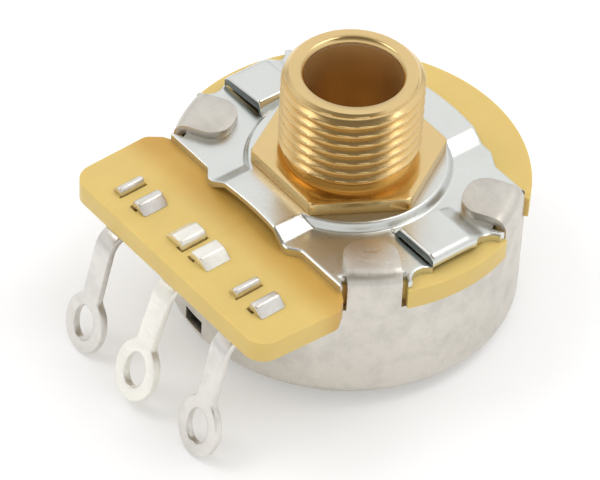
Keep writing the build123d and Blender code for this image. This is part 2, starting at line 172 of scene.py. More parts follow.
class Stage(PropertyGroup):
    """The light and the camera."""

    lens: number("Lens", 250.825, "Focal length in mm")
    right_box: number("Right softbox", 0.115, "Its power in watts")
    left_box: number("Left softbox", 0.08, "Its power in watts")
    sky: number("Sky", 0.78, "Strength of the even light on matt surfaces")


# Node maths


def both_ways(operation):
    """An operator's method and its reflected form, each of which makes one Math node."""

    def method(self, other):
        return self.maths(operation, other)

    def reflected(self, other):
        return self.nodes.value("ShaderNodeMath", {"operation": operation}, other, self)

    return method, reflected


class Value:
    """A node tree's number that adds and multiplies as Python numbers do."""

    def __init__(self, nodes, socket):
        self.nodes = nodes
        self.socket = socket

    def maths(self, operation, *others):
        return self.nodes.value("ShaderNodeMath", {"operation": operation}, self, *others)

    __add__, __radd__ = both_ways("ADD")
    __sub__, __rsub__ = both_ways("SUBTRACT")
    __mul__, __rmul__ = both_ways("MULTIPLY")
    __truediv__, __rtruediv__ = both_ways("DIVIDE")
    __pow__, __rpow__ = both_ways("POWER")

    def __abs__(self):
        return self.maths("ABSOLUTE")

    def rises(self, low, high, kind="SMOOTHSTEP"):
        """0 below low and 1 above high; between them it rises smoothly, or straight if LINEAR."""
        settings = {"interpolation_type": kind}
        return self.nodes.value("ShaderNodeMapRange", settings, self, low, high, 0.0, 1.0)


class Nodes:
    """The nodes of a tree: one method makes any node, and values join by Python expressions."""

    def __init__(self, tree):
        self.tree = tree

    def node(self, kind, settings, *values, **named):
        """A new node with its settings, then the values or links of its sockets."""
        made = self.tree.nodes.new(kind)
        for key, setting in settings.items():
            setattr(made, key, setting)
        free = [s for s in made.inputs if s.enabled]
        for socket, value in zip(free, values):
            self._feed(socket, value)
        for key, value in named.items():
            self._feed(made.inputs[key.replace("_", " ")], value)
        return made

    def _feed(self, socket, value):
        if isinstance(value, Value):
            self.tree.links.new(value.socket, socket)
        elif isinstance(value, bpy.types.NodeSocket):
            self.tree.links.new(value, socket)
        elif socket.type == "RGBA":
            socket.default_value = (*value, 1.0)
        else:
            socket.default_value = value

    def value(self, kind, settings, *values):
        made = self.node(kind, settings, *values)
        return Value(self, next(s for s in made.outputs if s.enabled))

    def out(self, made, name):
        return Value(self, made.outputs[name])

    def mix(self, factor, first, second):
        """A colour between two others."""
        made = self.node("ShaderNodeMix", {"data_type": "RGBA"}, factor, first, second)
        return next(s for s in made.outputs if s.enabled)

    def axes(self, point):
        """The three coordinates of a point."""
        made = self.node("ShaderNodeSeparateXYZ", {}, point)
        return [self.out(made, name) for name in "XYZ"]

    def towards(self, point, way):
        """The share of a direction that points one way, from -1 to 1."""
        made = self.node("ShaderNodeVectorMath", {"operation": "DOT_PRODUCT"}, point, tuple(way))
        return self.out(made, "Value")


class Shader(Nodes):
    """A material's nodes."""

    def __init__(self, name):
        self.material = bpy.data.materials.new(name)
        self.material.use_nodes = True
        super().__init__(self.material.node_tree)
        self.tree.nodes.clear()
        self.end = self.tree.nodes.new("ShaderNodeOutputMaterial")

    def place(self, stretch=(1.0, 1.0, 1.0), turn=(0.0, 0.0, 0.0)):
        """Object coordinates in millimetres, stretched and turned."""
        point = self.node("ShaderNodeTexCoord", {}).outputs["Object"]
        scale = tuple(s / MM for s in stretch)
        made = self.node("ShaderNodeMapping", {}, Vector=point, Rotation=turn, Scale=scale)
        return made.outputs[0]

    def noise(self, scale, detail, roughness=0.5, **placed):
        """Cloudy noise on the object, which may be stretched and turned."""
        where = self.place(**placed)
        made = self.node(
            "ShaderNodeTexNoise", {}, Vector=where, Scale=scale, Detail=detail, Roughness=roughness
        )
        return self.out(made, "Fac")

    def bump(self, height, strength, distance):
        made = self.node(
            "ShaderNodeBump", {}, Strength=strength, Distance=distance * MM, Height=height
        )
        return made.outputs["Normal"]

    def finish(self, **sockets):
        """The surface itself, with constants and links on its own sockets."""
        surface = self.node("ShaderNodeBsdfPrincipled", {}, **sockets)
        self.surface(surface.outputs[0])
        return self.material

    def surface(self, socket):
        self.tree.links.new(socket, self.end.inputs["Surface"])


def tint(base, factor):
    """A colour made lighter or darker."""
    return tuple(min(1.0, c * factor) for c in base)


def painted_shade_of(shade):
    """The same colour, darker and fuller: painted shade on brass."""
    return tuple(c * c * 1.15 for c in shade)


# Places on the bushing, in millimetres as materials read them
THREAD_FOOT = (0.1, 0.6)
THREAD_END = (5.7, 5.9)
THREAD_ROOT = (4.25, 4.75)
FLANGE_SIDE = (-0.95, 0.0)

# Places on the board, in millimetres: the painted shadow beside the plate fades in and out between
# these
PLATE_SHADOW_FRONT = (-11.3, -8.6)
PLATE_SHADOW_BACK = (-7.5, -6.0)
PLATE_SHADOW_TONE = (0.62, 0.33, 0.05)
# The painted shade in the pads' slots fills the board between these
PAD_SLOT_INNER = (6.6, 6.9)
PAD_SLOT_OUTER = (10.6, 10.9)
PAD_SLOT_FRONT = (-2.3, -2.1)
PAD_SLOT_BACK = (0.0, 1.5)
SLOT_SHADE_TONE = (0.03, 0.03, 0.025)


def turned_brass(name, shade, rough):
    """Lathe-turned brass: fine tool rings, light blotches, painted shade in the thread's roots and
    the bore, and painted shade at the flange's foot.
    """
    s = Shader(name)
    fine = s.noise(3.0, 3.0, stretch=(0.25, 0.25, 7.0))
    blotch = s.noise(0.3, 2.0)
    tarnish = blotch.rises(0.45, 0.75)
    base = s.mix(tarnish * 0.25, shade, tint(shade, 0.88))
    base = s.mix(fine.rises(0.4, 0.7) * 0.2, base, tint(shade, 1.12))
    across, along, height = s.axes(s.place())
    # Painted shade darkens the thread's roots and the bore, and the thread is duller than the
    # turned faces
    barrel = height.rises(*THREAD_FOOT) * (1.0 - height.rises(*THREAD_END))
    crest = ((across * across + along * along) ** 0.5).rises(*THREAD_ROOT)
    base = s.mix((1.0 - crest) * barrel * 0.75, base, painted_shade_of(shade))
    # Painted shade: the flange's sides are darker towards their foot
    foot = 1.0 - height.rises(*FLANGE_SIDE)
    base = s.mix(foot * 0.7, base, tint(painted_shade_of(shade), 0.75))
    worn = fine * 0.10 + tarnish * 0.06 + barrel * 0.05 + rough
    normal = s.bump(fine + s.noise(12.0, 2.0) * 0.3, 0.16, 0.012)
    return s.finish(Base_Color=base, Metallic=1.0, Roughness=worn, Normal=normal)


def zinc_plate(shade):
    """Bright zinc on pressed steel: rolling lines, faint stains and tiny dents."""
    s = Shader("zinc_plate")
    rolled = s.noise(1.6, 4.0, stretch=(0.25, 5.0, 1.0), turn=(0.0, 0.0, 0.35))
    stain = s.noise(0.35, 4.0)
    base = s.mix(stain.rises(0.45, 0.7) * 0.25, shade, tint(shade, 0.86))
    base = s.mix(rolled.rises(0.5, 0.8) * 0.15, base, (0.70, 0.70, 0.68))
    rough = rolled * 0.08 + stain * 0.10 + 0.2
    dents = s.noise(0.9, 2.0) + rolled * 0.15
    return s.finish(
        Base_Color=base, Metallic=1.0, Roughness=rough, Normal=s.bump(dents, 0.2, 0.05)
    )


def paper_laminate(shade):
    """Amber paper laminate under a thin resin skin."""
    s = Shader("paper_laminate")
    cloud = s.noise(0.28, 3.0)
    grain = s.noise(6.0, 3.0, stretch=(4.0, 1.0, 4.0))
    base = s.mix(cloud.rises(0.35, 0.7) * 0.5, shade, tint(shade, 0.9))
    base = s.mix(grain.rises(0.45, 0.75) * 0.15, base, tint(shade, 1.12))
    # Painted shadow: the resin is darkened beside the plate's front edge, where the plate shades it
    across, along, _ = s.axes(s.place())
    plate_shadow = along.rises(*PLATE_SHADOW_FRONT) * (1.0 - along.rises(*PLATE_SHADOW_BACK))
    base = s.mix(plate_shadow * (cloud * 0.4 + 0.55), base, PLATE_SHADOW_TONE)
    # Painted shade: the board is darkened in the two slots that the pads leave open, where the pads
    # shade it
    out = abs(across)
    slot_shade = out.rises(*PAD_SLOT_INNER) * (1.0 - out.rises(*PAD_SLOT_OUTER))
    slot_shade = slot_shade * along.rises(*PAD_SLOT_FRONT) * (1.0 - along.rises(*PAD_SLOT_BACK))
    base = s.mix(slot_shade * 0.9, base, SLOT_SHADE_TONE)
    rough = grain * 0.12 + 0.34
    return s.finish(
        Base_Color=base,
        Roughness=rough,
        Normal=s.bump(grain + cloud * 2.0, 0.15, 0.02),
        Subsurface_Weight=0.25,
        Subsurface_Radius=(0.8, 0.45, 0.12),
        Subsurface_Scale=0.0006,
        Specular_IOR_Level=0.4,
    )


def plated_metal(name, shade, rough, mottle, relief):
    """Tinned, plated or plain sheet metal: soft mottling, speckle, scuffs and shallow dents, with
    painted shade in the dents.
    """
    s = Shader(name)
    cloud = s.noise(0.55, 4.0, 0.6)
    pits = s.noise(3.5, 3.0)
    scuff = s.noise(1.5, 4.0, stretch=(0.4, 4.0, 1.5), turn=(0.3, 0.2, 0.7))
    base = s.mix(cloud.rises(0.4, 0.7) * mottle, shade, tint(shade, 0.78))
    base = s.mix(scuff.rises(0.58, 0.75) * 0.3, base, tint(shade, 1.15))
    speckle = s.noise(7.0, 2.0).rises(0.5, 0.75)
    base = s.mix(speckle * mottle * 0.5, base, tint(shade, 0.85))
    worn = pits * 0.10 + cloud * 0.14 + (rough - 0.12)
    dents = s.noise(1.3, 2.0).rises(0.55, 0.8)
    # Painted shade: the dents are darker in colour
    base = s.mix(dents * mottle * 0.5, base, tint(shade, 0.72))
    height = cloud * 1.5 + pits * 0.4 - dents * 0.5
    return s.finish(
        Base_Color=base, Metallic=1.0, Roughness=worn, Normal=s.bump(height, relief, 0.05)
    )


def matt_solid(name, shade, rough, grain_size):
    """Moulded, printed or pressed material without metal."""
    s = Shader(name)
    grain = s.noise(grain_size, 3.0)
    cloud = s.noise(0.4, 2.0)
    base = s.mix(grain.rises(0.4, 0.7) * 0.4, shade, tint(shade, 1.3))
    base = s.mix(cloud * 0.2, base, tint(shade, 0.8))
    worn = grain * 0.15 + (rough - 0.07)
    return s.finish(Base_Color=base, Roughness=worn, Normal=s.bump(grain, 0.2, 0.02))


# Meshes


def add_object(name, data):
    thing = bpy.data.objects.new(name, data)
    bpy.context.collection.objects.link(thing)
    return thing


def paint(mesh, materials):
    """Give a mesh its materials; each face keeps its place in their list."""
    # Clearing the materials also clears which face has which
    slots = [min(face.material_index, len(materials) - 1) for face in mesh.polygons]
    mesh.materials.clear()
    for material in materials:
        mesh.materials.append(material)
    mesh.polygons.foreach_set("material_index", slots)


def piece(name, mesh, materials, nodes):
    """A finished piece in the scene that stands for its CAD nodes."""
    thing = add_object(name, mesh)
    paint(mesh, materials)
    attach(thing, FIXED)
    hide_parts(*nodes)


def settle(thing):
    """The object's modifiers turned into a plain mesh."""
    graph = bpy.context.evaluated_depsgraph_get()
    graph.update()
    mesh = bpy.data.meshes.new_from_object(thing.evaluated_get(graph))
    thing.modifiers.clear()
    return mesh


def smooth_by_angle(bm, degrees):
    """Smooth faces with sharp edges where the surface turns more than this."""
    limit = math.radians(degrees)
    for face in bm.faces:
        face.smooth = True
    for edge in bm.edges:
        edge.smooth = len(edge.link_faces) == 2 and edge.calc_face_angle(0.0) < limit


def mesh_from(bm, name, degrees):
    smooth_by_angle(bm, degrees)
    mesh = bpy.data.meshes.new(name)
    bm.to_mesh(mesh)
    bm.free()
    return mesh


# Reach and level of a prong as the press leaves it
FLAT_PRONG = (0.92, 1.0)
CURLED_LEVEL = 0.82
PRONG_DRAW = 0.12

# Faces that turn less than FLAT are one face, and edges that turn more than SHARP are rounded
FLAT = math.radians(1.0)
SHARP = math.radians(40)
WELD = 0.002 * MM


def clinch(bm, sizes, curled):
    """The lug's prongs as the press leaves them: the left one may be curled up short."""
    prongs = [v for v in bm.verts if v.co.z > sizes.foot]
    middle = (min(v.co.x for v in prongs) + max(v.co.x for v in prongs)) / 2
    for side in (-1, 1):
        one = [v for v in prongs if (v.co.x - middle) * side > 0]
        root = min((v.co.x for v in one), key=lambda x: abs(x - middle))
        low = min(v.co.z for v in one)
        back = min(v.co.y for v in one)
        front = max(v.co.y for v in one)
        reach, level = (sizes.curl, CURLED_LEVEL) if side < 0 and curled else FLAT_PRONG
        for vert in one:
            height = vert.co.z - low
            # The bent strip's inner side is pressed down on the board
            if 0.0 < height < sizes.hollow:
                height = 0.0
            end = abs(vert.co.y - (back + front) / 2) / (front - back) * 2.0
            draw = 1.0 - PRONG_DRAW * end * min(1.0, height / sizes.hollow)
            vert.co.x = root + (vert.co.x - root) * reach * draw
            if side < 0 and curled:
                vert.co.x -= sizes.lean
            vert.co.z = low + height * level


def rounded_copy(node, width, segments=2, shaped=None, share=None):
    """A CAD node's shape with merged faces and rounded edges.

    shaped may bend it first, and share gives the share of the width at an edge's middle."""
    bm = bmesh.new()
    bm.from_mesh(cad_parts[node].data)
    bmesh.ops.remove_doubles(bm, verts=bm.verts, dist=WELD)
    if shaped:
        shaped(bm)
    bmesh.ops.dissolve_limit(bm, angle_limit=FLAT, verts=bm.verts, edges=bm.edges)
    if share:
        weight = bm.edges.layers.float.new("bevel_weight_edge")
        for edge in bm.edges:
            if len(edge.link_faces) == 2 and edge.calc_face_angle() > SHARP:
                edge[weight] = share((edge.verts[0].co + edge.verts[1].co) / 2)
    mesh = bpy.data.meshes.new(node + "_blank")
    bm.to_mesh(mesh)
    bm.free()
    blank = add_object(node + "_blank", mesh)
    bevel = blank.modifiers.new("Edges", "BEVEL")
    bevel.width = width
    bevel.segments = segments
    bevel.limit_method = "WEIGHT" if share else "ANGLE"
    bevel.angle_limit = SHARP
    result = settle(blank)
    bpy.data.objects.remove(blank)
    bm = bmesh.new()
    bm.from_mesh(result)
    return mesh_from(bm, node + "_shape", 30.0)


# The thread's form: half of a crest and the start of a root, as shares of half a pitch
HALF_CREST = 0.1
ROOT_FROM = 0.95
# Where the groove's slope turns into its rounded root, as shares of the depth
ROOT_LEVEL = 0.86
ROOT_BLEND = 0.3
# The ridges fade in over this many pitches
FADE_RUN = 0.42
# Whole turns that keep the phase above 0
SPARE_TURNS = 8.0
THREAD_ROWS = 168


def thread_tree():
    """Geometry nodes: a screw thread's outer surface, with a chamfered mouth and a faded foot."""
    tree = bpy.data.node_groups.new("Thread surface", "GeometryNodeTree")
    floats = ("Pitch", "Radius", "Depth", "Bottom", "Foot", "Relief", "Top", "Chamfer", "Start")
    kinds = dict.fromkeys(floats, "NodeSocketFloat")
    kinds.update(Steps="NodeSocketInt", Rows="NodeSocketInt", Material="NodeSocketMaterial")
    for name, kind in kinds.items():
        tree.interface.new_socket(name, in_out="INPUT", socket_type=kind)
    tree.interface.new_socket("Geometry", in_out="OUTPUT", socket_type="NodeSocketGeometry")
    s = Nodes(tree)
    inputs = s.node("NodeGroupInput", {})
    given = {name: s.out(inputs, name) for name in kinds}
    columns = given["Steps"] + 1.0
    rows = given["Rows"] + 1.0
    sizes = {"Size_X": 1.0, "Size_Y": 1.0, "Vertices_X": columns, "Vertices_Y": rows}
    grid = s.node("GeometryNodeMeshGrid", {}, **sizes)
    across, up, _ = s.axes(s.node("GeometryNodeInputPosition", {}).outputs[0])
    around = across + 0.5
    height = (up + 0.5) * (given["Top"] - given["Bottom"]) + given["Bottom"]
    # The crest climbs one pitch in each turn
    turns = height / given["Pitch"] - around
    phase = (turns + given["Start"] + SPARE_TURNS).maths("FRACT")
    groove = abs(phase * 2.0 - 1.0).rises(HALF_CREST, ROOT_FROM, "LINEAR")
    groove = groove.maths("SMOOTH_MIN", ROOT_LEVEL, ROOT_BLEND)
    fade = height.rises(given["Foot"], given["Foot"] + given["Pitch"] * FADE_RUN, "LINEAR")
    # Below the ridges the barrel is turned down to the relief
    cut = (groove * fade + (1.0 - fade) * given["Relief"]) * given["Depth"]
    # The mouth's chamfer is a cone of 45 degrees
    cone = given["Radius"] + (given["Top"] - height) - given["Chamfer"]
    radius = (given["Radius"] - cut).maths("MINIMUM", cone)
    turn = around * (2.0 * math.pi)
    x = radius * turn.maths("COSINE")
    y = radius * turn.maths("SINE")
    point = s.node("ShaderNodeCombineXYZ", {}, x, y, height).outputs[0]
    mesh = grid.outputs["Mesh"]
    moved = s.node("GeometryNodeSetPosition", {}, Geometry=mesh, Position=point)
    real = s.node("GeometryNodeRealizeInstances", {}, moved.outputs[0]).outputs[0]
    painted = s.node("GeometryNodeSetMaterial", {}, Geometry=real, Material=given["Material"])
    s.node("NodeGroupOutput", {}, painted.outputs[0])
    return tree


def run_tree(tree, **values):
    """The mesh that a geometry tree makes from these named inputs."""
    holder = add_object("holder", bpy.data.meshes.new("holder"))
    modifier = holder.modifiers.new("Tree", "NODES")
    modifier.node_group = tree
    for item in tree.interface.items_tree:
        if item.in_out == "INPUT":
            modifier[item.identifier] = values[item.name]
    mesh = settle(holder)
    bpy.data.objects.remove(holder)
    return mesh


def ring_of(bm, radius, height, steps):
    """A closed ring of points with one radius, or with the radius that a function gives."""
    ring = []
    for index in range(steps):
        angle = 2.0 * math.pi * index / steps
        reach = radius(angle) if callable(radius) else radius
        ring.append(bm.verts.new((reach * math.cos(angle), reach * math.sin(angle), height)))
    return ring


def join_rings(bm, rings):
    for first, second in zip(rings, rings[1:]):
        for index in range(len(first)):
            after = (index + 1) % len(first)
            bm.faces.new((first[index], first[after], second[after], second[index]))


# The lip that is staked over the plate's back, from the flange's back, and its broken edges
LIP_FROM = 0.6 * MM
LIP_TO = 1.0 * MM
LIP_BREAK = 0.1 * MM


def bushing_mesh(sizes, material):
    """The bushing: a geometry-nodes thread, with the turned and bored rest in rings."""
    steps = sizes.steps
    thread = run_tree(
        thread_tree(),
        Pitch=sizes.pitch,
        Radius=sizes.thread_diameter / 2,
        Depth=sizes.thread_depth,
        Bottom=0.0,
        Foot=sizes.thread_foot,
        Relief=sizes.relief,
        Top=sizes.mouth,
        Chamfer=sizes.mouth_chamfer,
        Start=sizes.thread_start,
        Steps=steps,
        Rows=THREAD_ROWS,
        Material=material,
    )
    bm = bmesh.new()
    bm.from_mesh(thread)
    bore = sizes.bore_diameter / 2
    flat = sizes.hex_across / 2
    corner = sizes.hex_corners / 2
    low = -sizes.hex_thickness
    crest = sizes.thread_diameter / 2
    lip = sizes.lip_diameter / 2
    neck = sizes.neck_diameter / 2

    def hexagon(inset, trim):
        """The flange's outline with its flats moved in by inset and its corners by trim."""

        def radius(angle):
            turn = (angle - sizes.hex_turn) % (math.pi / 3) - math.pi / 6
            side = (flat - inset) / math.cos(turn)
            return min(side, corner - trim)

        return radius

    def blend(share):
        """An outline between the thread's round and the flange's hexagon."""
        full = hexagon(0.14 * MM, 0.22 * MM)
        return lambda angle: crest + (full(angle) - crest) * share

    relief = crest - sizes.thread_depth * sizes.relief
    profile = [
        (relief, 0.0),
        (crest, 0.0),
        (blend(0.35), 0.0),
        (blend(0.7), 0.0),
        (hexagon(0.06 * MM, 0.20 * MM), 0.0),
        (hexagon(0.02 * MM, 0.08 * MM), -0.02 * MM),
        (hexagon(0.0, 0.0), -0.09 * MM),
        (hexagon(0.0, 0.0), low + 0.05 * MM),
        (hexagon(0.05 * MM, 0.05 * MM), low),
        (lip + LIP_BREAK, low),
        (neck, low),
        (neck, low - LIP_FROM),
        (lip - LIP_BREAK, low - LIP_FROM),
        (lip, low - LIP_FROM - LIP_BREAK),
        (lip, low - LIP_TO + LIP_BREAK),
        (lip - LIP_BREAK, low - LIP_TO),
        (neck, low - LIP_TO),
        (neck, sizes.neck_end + 0.08 * MM),
        (neck - 0.08 * MM, sizes.neck_end),
        (bore, sizes.neck_end),
        (bore, 3.2 * MM),
        (bore, sizes.mouth - 0.32 * MM),
        (bore + 0.03 * MM, sizes.mouth - 0.24 * MM),
        (bore + 0.2 * MM, sizes.mouth - 0.06 * MM),
        (bore + 0.28 * MM, sizes.mouth),
        (crest - sizes.mouth_chamfer - 0.05 * MM, sizes.mouth),
        (crest - sizes.mouth_chamfer, sizes.mouth),
    ]
    rings = [ring_of(bm, radius, height, steps) for radius, height in profile]
    join_rings(bm, rings)
    bmesh.ops.remove_doubles(bm, verts=bm.verts, dist=0.003 * MM)
    bmesh.ops.recalc_face_normals(bm, faces=bm.faces)
    for face in bm.faces:
        middle = face.calc_center_median()
        inside = middle.to_2d().length < bore + 0.01 * MM
        face.material_index = 1 if inside else 0
    return mesh_from(bm, "bushing_shape", 38.0)


# The pressed plate

CENTRE = Vector((0.0, 0.0))

# The lanced pads: where their inner ends and their backs rise, and how their edges bend
LEFT_PAD_INNER = 6.95 * MM
RIGHT_PAD_INNER = 7.2 * MM
PAD_END_RUN = 0.45 * MM
PAD_BACK = (1.2 * MM, 2.9 * MM)
PAD_BEND = (0.4 * MM, 0.1 * MM)
PAD_END_DROP = 0.26 * MM
WIDE_ROUND = 0.3 * MM
ROLL_RUN = 0.2 * MM
ROLL_DROP = 0.07 * MM

# The sheet before the pads, which the press draws down along the cut
DRAWN_FROM = 7.0 * MM
DRAWN_MIDDLE = 0.12 * MM
DRAWN_REACH = 0.28 * MM
SLIGHT = 0.01 * MM

# The notches for the case's tabs, and the round cuts beside the pads
NOTCH_INNER = 10.92 * MM
NOTCH_HALF = 2.15 * MM
NOTCH_TURN = math.radians(30)
CUT_OUT = 11.85 * MM
CUT_FROM = math.radians(60)
ARCH_CORNER = 0.4 * MM
EDGE_CORNER = 0.7 * MM

# The sizes of quarter_outline at the front and at the back, in millimetres
FRONT = dict(edge=7.87, arch_edge=8.5, pull=-0.3, corner=4.2, run=0.8, cut_y=2.75, cut_r=1.12)
BACK = dict(edge=7.7, arch_edge=8.4, pull=0.4, corner=4.75, run=1.25, cut_y=2.6, cut_r=1.05)

# The sheet's net of points: rows on the slopes, and the zones that the plain net leaves to them
BOSS_ROWS = 5
BOSS_SPACE = 0.8
ARCH_ROWS = 8
ARCH_REACH = 9.0 * MM
PAD_ROWS = (0.06, 0.15, 0.25, 0.36)
ROW_SPACE = 0.92
PAD_ZONE = 6.9 * MM
PAD_ENDS_X = (6.7 * MM, 7.9 * MM)
PAD_ENDS_Y = (-2.2 * MM, 3.2 * MM)
ARCH_FREE = 5.8 * MM
CUT_INNER = 6.85 * MM
MERGE = 0.001 * MM
# A triangle whose middle is nearer than this share of the hole's radius fills the hole
HOLE_SHARE = 0.999
# A rounded edge's points lie lower than the face by this share of the round
EDGE_DROP = 0.7

# How far the plain net keeps from the rows
BOSS_INSIDE = 0.15 * MM
BOSS_OUTSIDE = 0.1 * MM
ARCH_BESIDE = 0.2 * MM
SHEAR_MIDDLE = 0.15 * MM
SHEAR_BESIDE = 0.3 * MM


def fold(value, low, high, soft=0.12 * MM):
    """0 below low and 1 above high: a straight slope with a small round at its top and foot."""

    def run(distance):
        if distance <= 0.0:
            return 0.0
        return distance * distance / (2.0 * soft) if distance < soft else distance - soft / 2.0

    return (run(value - low) - run(value - high + soft)) / (high - low - soft)


def pad_height(sizes, x, y):
    """How far a lanced pad stands above the sheet; the left one is lifted more at its inner end."""
    out = abs(x)
    inner = LEFT_PAD_INNER if x < 0 else RIGHT_PAD_INNER
    top = sizes.pad_rise
    if x < 0:
        top += sizes.pad_lift * (1.0 - fold(out, inner, sizes.pad_end, WIDE_ROUND))
    rolled = max(0.0, 1.0 - (y - sizes.shear) / ROLL_RUN)
    bent = fold(out, sizes.pad_end - PAD_BEND[0], sizes.pad_end + PAD_BEND[1])
    top -= ROLL_DROP * rolled * rolled + PAD_END_DROP * bent
    up = fold(out, inner, inner + PAD_END_RUN)
    return top * up * (1.0 - fold(y, *PAD_BACK, WIDE_ROUND))


def plate_height(sizes, x, y, on_pad):
    """How far the press lifts the sheet at a point, in metres."""
    boss = 1.0 - fold(math.hypot(x, y), sizes.boss_radius, sizes.boss_radius + sizes.boss_slope)
    arch = 1.0 - fold(abs(x), sizes.arch_crown, sizes.arch_foot)
    lift = max(boss, arch) * sizes.rise
    if on_pad:
        return max(lift, pad_height(sizes, x, y))
    if abs(x) > DRAWN_FROM and y < sizes.shear + SLIGHT:
        near = 1.0 - min(1.0, abs(sizes.shear - DRAWN_MIDDLE - y) / DRAWN_REACH)
        return lift - ROLL_DROP * near
    return lift


def corner_arc(before, corner, after, radius, step):
    """The points of a rounded corner between two straight runs."""
    first = (before - corner).normalized()
    second = (after - corner).normalized()
    opening = first.angle(second)
    run = radius / math.tan(opening / 2)
    start = corner + first * run
    end = corner + second * run
    centre = corner + (first + second).normalized() * radius / math.sin(opening / 2)
    sweep = math.pi - opening
    count = max(3, round(sweep * radius / step))
    from_centre = start - centre
    turn = 1.0 if from_centre.cross(end - centre) > 0 else -1.0
    return [
        centre + Matrix.Rotation(turn * sweep * index / count, 2) @ from_centre
        for index in range(count + 1)
    ]


def direction(angle):
    return Vector((math.cos(angle), math.sin(angle)))


def arc_points(centre, radius, start, end, step):
    count = max(4, round(abs(end - start) * radius / step))
    angles = (start + (end - start) * index / count for index in range(count + 1))
    return [centre + direction(angle) * radius for angle in angles]


def heading(point):
    return math.atan2(point.y, point.x)


def quarter_outline(sizes, edge, arch_edge, pull, corner, run, cut_y, cut_r):
    """One quarter of the plate's edge, from the arch's middle round to the side, for +x and +y.

    The press pulls the arch's edge out or in by pull at its middle."""
    step = sizes.mesh_step
    r = sizes.radius
    foot = sizes.arch_foot
    out = direction(NOTCH_TURN)
    along = out.orthogonal()
    side = math.sqrt(r * r - NOTCH_HALF * NOTCH_HALF)
    points = []
    count = round(foot / step)
    for index in range(count):
        x = foot * index / count
        points.append(Vector((x, arch_edge + pull * (1.0 - (x / foot) ** 2))))
    # The straight edge ends on the round side, or else on the notch's side
    on_notch = (edge - along.y * NOTCH_HALF) / out.y
    upper = out * min(side, on_notch) + along * NOTCH_HALF
    end = Vector((math.sqrt(r * r - edge * edge), edge)) if on_notch > side else upper
    bends = [Vector((foot, arch_edge)), Vector((corner, arch_edge))]
    bends += [Vector((corner + run, edge)), end]
    points += corner_arc(*bends[:3], ARCH_CORNER, step / 2)
    points += corner_arc(*bends[1:], EDGE_CORNER, step / 2)
    lower = out * side - along * NOTCH_HALF
    if on_notch > side:
        points += arc_points(CENTRE, r, heading(end), heading(upper), step)
    inner = out * NOTCH_INNER
    points += [upper, inner + along * NOTCH_HALF, inner - along * NOTCH_HALF]
    # The round cut beside the pad starts where it meets the plate's side
    centre = Vector((CUT_OUT, cut_y))
    first = CUT_FROM
    while (centre + direction(first) * cut_r).length > r:
        first += math.radians(1)
    meet = centre + direction(first) * cut_r
    points += arc_points(CENTRE, r, heading(lower), heading(meet), step)
    reach_y = math.sqrt(cut_r * cut_r - (CUT_OUT - sizes.pad_end) ** 2)
    last = 2.0 * math.pi - math.atan2(reach_y, sizes.pad_end - CUT_OUT)
    points += arc_points(centre, cut_r, first, last, step)
    points.append(Vector((sizes.pad_end, 0.0)))
    return points


def even_steps(points, step):
    """The closed line divided so that no run is longer than the step."""
    result = []
    for first, second in zip(points, points[1:] + points[:1]):
        run = (second - first).length
        if run < SLIGHT:
            continue
        count = max(1, round(run / step))
        result += [first.lerp(second, index / count) for index in range(count)]
    return result


def plate_outline(sizes):
    """The plate's whole edge, clockwise from the back arch's middle."""
    front = quarter_outline(sizes, **{name: size * MM for name, size in FRONT.items()})
    back = quarter_outline(sizes, **{name: size * MM for name, size in BACK.items()})
    right_front = [Vector((p.x, -p.y)) for p in reversed(front)]
    left_front = [Vector((-p.x, -p.y)) for p in front]
    left_back = [Vector((-p.x, p.y)) for p in reversed(back)]
    return even_steps(back + right_front + left_front + left_back, sizes.mesh_step)


def inner_line(line, width):
    """A clockwise closed line moved inwards by a width."""
    moved = []
    for before, point, after in zip(line[-1:] + line[:-1], line, line[1:] + line[:1]):
        along = (point - before).normalized() + (after - point).normalized()
        inwards = Vector((along.y, -along.x)).normalized()
        moved.append(point + inwards * width)
    return moved


def fold_points(sizes):
    """Points in rows along the slopes of the boss, the arches and the pads."""
    step = sizes.mesh_step
    points = []
    for index in range(-1, BOSS_ROWS + 2):
        radius = sizes.boss_radius + sizes.boss_slope * index / BOSS_ROWS
        points += arc_points(CENTRE, radius, 0.0, 2.0 * math.pi, step * BOSS_SPACE)[:-1]
    slope = sizes.arch_foot - sizes.arch_crown
    rows = [sizes.arch_crown + slope * index / ARCH_ROWS for index in range(-1, ARCH_ROWS + 2)]
    count = round(ARCH_REACH / step)
    for row in rows:
        for side in (-1, 1):
            points += [Vector((side * row, step * index)) for index in range(-count, count + 1)]
    run = range(round(LEFT_PAD_INNER / step), round(sizes.pad_end / step))
    for side in (-1, 1):
        for row in PAD_ROWS:
            points += [Vector((side * step * index, sizes.shear + row * MM)) for index in run]
    return points


